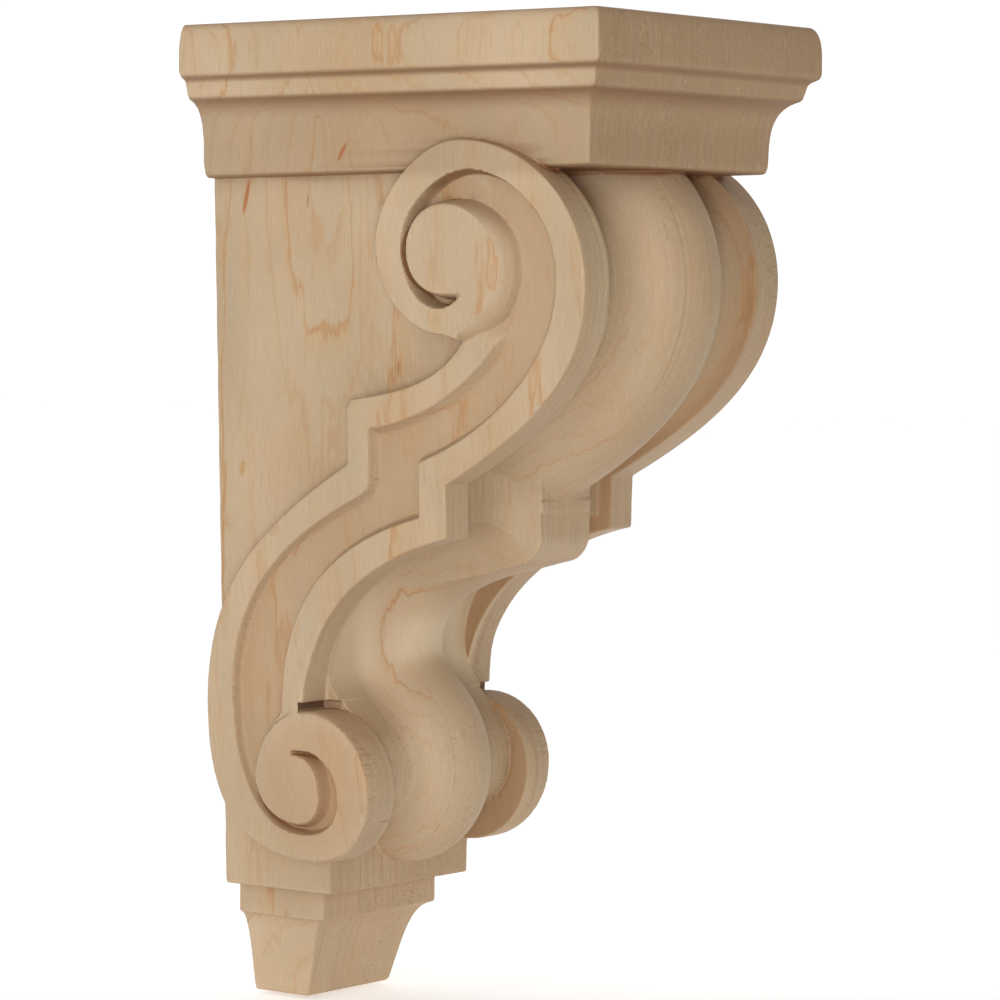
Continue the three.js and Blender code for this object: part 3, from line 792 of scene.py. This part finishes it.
    # Painted shade: the saw cuts over the lower scrolls are painted dark inside, where the fillet's
    # end overhangs them
    cut = sums("LESS_THAN", sums("ABSOLUTE", sums("SUBTRACT", up, CUT_SHADE_MIDDLE[1])), CUT_SHADE_HALF[1])
    beside = sums("LESS_THAN", sums("ABSOLUTE", sums("ADD", y, CUT_SHADE_MIDDLE[0])), CUT_SHADE_HALF[0])
    cut = sums("MULTIPLY", cut, beside)
    cut = sums("MULTIPLY", cut, sums("LESS_THAN", sums("ABSOLUTE", normal[0]), 0.6))
    cut = sums("MULTIPLY", cut, sums("LESS_THAN", normal[2], 0.3))
    cut = sums("MULTIPLY", cut, sums("GREATER_THAN", sums("ABSOLUTE", x), CUT_SHADE_ACROSS))
    tone = tint(tone, colour("#4E3826"), sums("MULTIPLY", cut, 0.85))
    # Painted shade: the cap's cove is painted a little darker on its sides, where the moulding
    # above shades it
    cove = sums("MULTIPLY", ramp(up, 307.0, 300.0), ramp(up, 276.0, 281.0))
    cove = sums("MULTIPLY", cove, sums("SUBTRACT", 0.4, sums("MULTIPLY", frontal, 0.4)))
    tone = tint(tone, colour("#9E8263"), cove)
    # Painted shade: the walls of the hollow front face each other, and are painted browner and
    # darker for the shade and warm bounced light between them
    painted_shade_facing_in = ramp(sums("MULTIPLY", x, normal[0]), -12.0, -36.0)
    tone = tint(tone, colour("#9C6B3C"), sums("MULTIPLY", painted_shade_facing_in, 0.4))

    # End grain, on faces that look up or down, is browner; on the cap's lower lip, which curves
    # under, painted shade is added to it
    end_grain_and_lip_shade = sums("MULTIPLY", ramp(normal[2], -0.25, -0.95), ramp(up, 272.0, 276.0, 0.2, 0.75))
    ends = sums("ADD", end_grain_and_lip_shade, ramp(normal[2], 0.25, 0.95, 0.0, 0.4))
    tone = tint(tone, colour("#7E5530"), ends)

    # Painted shade: the sunk floors and the sharp hollows are painted browner and darker
    sunk = add(tree, "ShaderNodeAttribute", attribute_name="sunk").outputs["Fac"]
    hollow = add(tree, "ShaderNodeAttribute", attribute_name="hollow").outputs["Fac"]
    tone = tint(tone, colour("#AD8760"), sums("MULTIPLY", sunk, 0.35))
    tone = tint(tone, colour("#86522C"), ramp(hollow, 0.25, 0.9, 0.0, 0.75))

    # Streaks and patches of the wood on the near side
    near = sums("LESS_THAN", x, -30.0)
    for out, high, length, width, lean, code, share in STREAKS:
        down = sums("SUBTRACT", z, high - HEIGHT / 2)
        along = sums("ADD", sums("ADD", y, out), sums("MULTIPLY", down, lean))
        size = sums("ADD", sums("POWER", sums("DIVIDE", along, width), 2.0),
                    sums("POWER", sums("DIVIDE", down, length), 2.0))
        mark = sums("MULTIPLY", ramp(size, 1.0, 0.3), sums("MULTIPLY", near, share))
        tone = tint(tone, colour(code), mark)

    # Fine saw lines across the slab's flat sides, about 0.75 mm apart
    flat = sums("LESS_THAN", sums("ABSOLUTE", x), 45.9)
    flat = sums("MULTIPLY", flat, ramp(sums("ABSOLUTE", normal[0]), 0.97, 0.995))
    saw = sums("SINE", sums("MULTIPLY", z, 2 * math.pi / 0.75))
    saw = sums("MULTIPLY", saw, flat)
    tone = tint(tone, colour("#8F7657"), sums("MULTIPLY", ramp(saw, 0.0, 1.0), 0.1))

    tree.links.new(tone, shader.inputs["Base Color"])
    shader.inputs["Roughness"].default_value = 0.62
    shader.inputs["IOR"].default_value = 1.5
    shader.inputs["Specular IOR Level"].default_value = 0.35
    # The fibres stand up a few hundredths of a millimetre
    height = sums("ADD", fibres, sums("MULTIPLY", saw, 0.12))
    bump = add(tree, "ShaderNodeBump", {"Height": height, "Distance": 0.00006, "Strength": 0.6})
    tree.links.new(bump.outputs[0], shader.inputs["Normal"])
    return material


# The camera's place in metres, its yaw, pitch and roll, and its lens in widths of the film
CAMERA_PLACE = (-1.0816, -0.9168, 0.074)
CAMERA_TURNS = (52.54, -2.82, 0.43)
CAMERA_LENS = 4.07694


def add_camera():
    camera = bpy.data.objects.new("camera", bpy.data.cameras.new("camera"))
    bpy.context.scene.collection.objects.link(camera)
    yaw, pitch, roll = (math.radians(a) for a in CAMERA_TURNS)
    reach = math.cos(pitch)
    ahead = Vector((math.sin(yaw) * reach, math.cos(yaw) * reach, math.sin(pitch)))
    level = Vector((math.cos(yaw), -math.sin(yaw), 0))
    above = level.cross(ahead)
    right = math.cos(roll) * level + math.sin(roll) * above
    top = math.cos(roll) * above - math.sin(roll) * level
    turn = Matrix((right, top, -ahead)).transposed().to_4x4()
    camera.matrix_world = Matrix.Translation(CAMERA_PLACE) @ turn
    camera.data.lens = 36 * CAMERA_LENS
    camera.data.clip_start = 0.05
    bpy.context.scene.camera = camera


def add_light(name, place, aim, size, power, tint="#FFFFFF"):
    light = bpy.data.lights.new(name, "AREA")
    light.shape = "SQUARE"
    light.size = size
    light.energy = power
    light.color = colour(tint)[:3]
    lamp = bpy.data.objects.new(name, light)
    lamp.location = place
    lamp.rotation_euler = (Vector(aim) - Vector(place)).to_track_quat("-Z", "Y").to_euler()
    bpy.context.scene.collection.objects.link(lamp)


def light_place(turn, rise, far):
    """A light's place, from its angle beside the camera's side, its rise and how far it is."""
    turn = math.radians(turn + CAMERA_SIDE)
    rise = math.radians(rise)
    level = far * math.cos(rise)
    return (level * math.cos(turn), level * math.sin(turn) - MIDDLE_OUT, far * math.sin(rise))


CAMERA_SIDE = -142.4
MIDDLE_OUT = 0.085
LIGHT_AIM = (0, -0.08, 0)
BACKDROP = (math.sin(math.radians(52.5)), math.cos(math.radians(52.5)), 0)
BROAD = light_place(-25, 15, 2.0)
UPPER = light_place(-42, 50, 2.0)
LOW = light_place(0, -1, 1.3)


def add_world():
    """A soft grey room with a white backdrop behind the bracket."""
    world = bpy.data.worlds.new("studio")
    world.use_nodes = True
    tree = world.node_tree
    way = add(tree, "ShaderNodeTexCoord").outputs["Generated"]
    ahead = add(tree, "ShaderNodeVectorMath", {0: way, 1: BACKDROP}, operation="DOT_PRODUCT")
    inputs = {0: ahead.outputs["Value"], 1: 0.3, 2: 0.8, 3: 0.35, 4: 1.05}
    light = add(tree, "ShaderNodeMapRange", inputs, interpolation_type="SMOOTHSTEP")
    tree.links.new(light.outputs[0], tree.nodes["Background"].inputs["Strength"])
    tree.nodes["Background"].inputs["Color"].default_value = colour("#FFFFFF")
    bpy.context.scene.world = world


FLOOR_LEVEL = -0.166


def add_floor():
    points = np.array([(x, y, FLOOR_LEVEL) for x, y in ((-4, -4), (6, -4), (6, 6), (-4, 6))])
    floor = bpy.data.objects.new("floor", mesh_from("floor", points, np.array([[0, 1, 2, 3]])))
    bpy.context.scene.collection.objects.link(floor)
    pale = bpy.data.materials.new("plain_floor")
    pale.use_nodes = True
    tree = pale.node_tree
    shader = tree.nodes["Principled BSDF"]
    shader.inputs["Base Color"].default_value = colour("#F4F4F4")
    shader.inputs["Roughness"].default_value = 0.9
    # Painted light: the floor glows, brighter behind the bracket, where it runs into the white
    # backdrop
    spot = add(tree, "ShaderNodeTexCoord").outputs["Object"]
    ahead = add(tree, "ShaderNodeVectorMath", {0: spot, 1: BACKDROP}, operation="DOT_PRODUCT")
    inputs = {0: ahead.outputs["Value"], 1: -0.2, 2: 0.05, 3: 0.0, 4: 0.55}
    glow = add(tree, "ShaderNodeMapRange", inputs, interpolation_type="SMOOTHSTEP")
    shader.inputs["Emission Color"].default_value = colour("#FFFFFF")
    tree.links.new(glow.outputs[0], shader.inputs["Emission Strength"])
    floor.data.materials.append(pale)
    floor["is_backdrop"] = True


step, most_faces = ((0.7, 190000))
body = carve(step, most_faces)
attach(body, "root")
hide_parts("corbel")
body.data.materials.append(maple())

add_floor()
add_camera()
add_light("broad", BROAD, LIGHT_AIM, 1.0, 6.5)
add_light("upper", UPPER, LIGHT_AIM, 1.0, 5.2)
add_light("low", LOW, LIGHT_AIM, 0.24, 5.0)
add_world()
bpy.context.scene.view_settings.view_transform = "Standard"

final_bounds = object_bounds()


def plain(value):
    """The same bounds as plain numbers and lists."""
    if isinstance(value, dict):
        return {key: plain(item) for key, item in value.items()}
    if isinstance(value, (str, bool)) or value is None:
        return value
    return [plain(item) for item in value] if hasattr(value, "__len__") else float(value)


{"packed": plain(packed_bounds), "final": plain(final_bounds)}
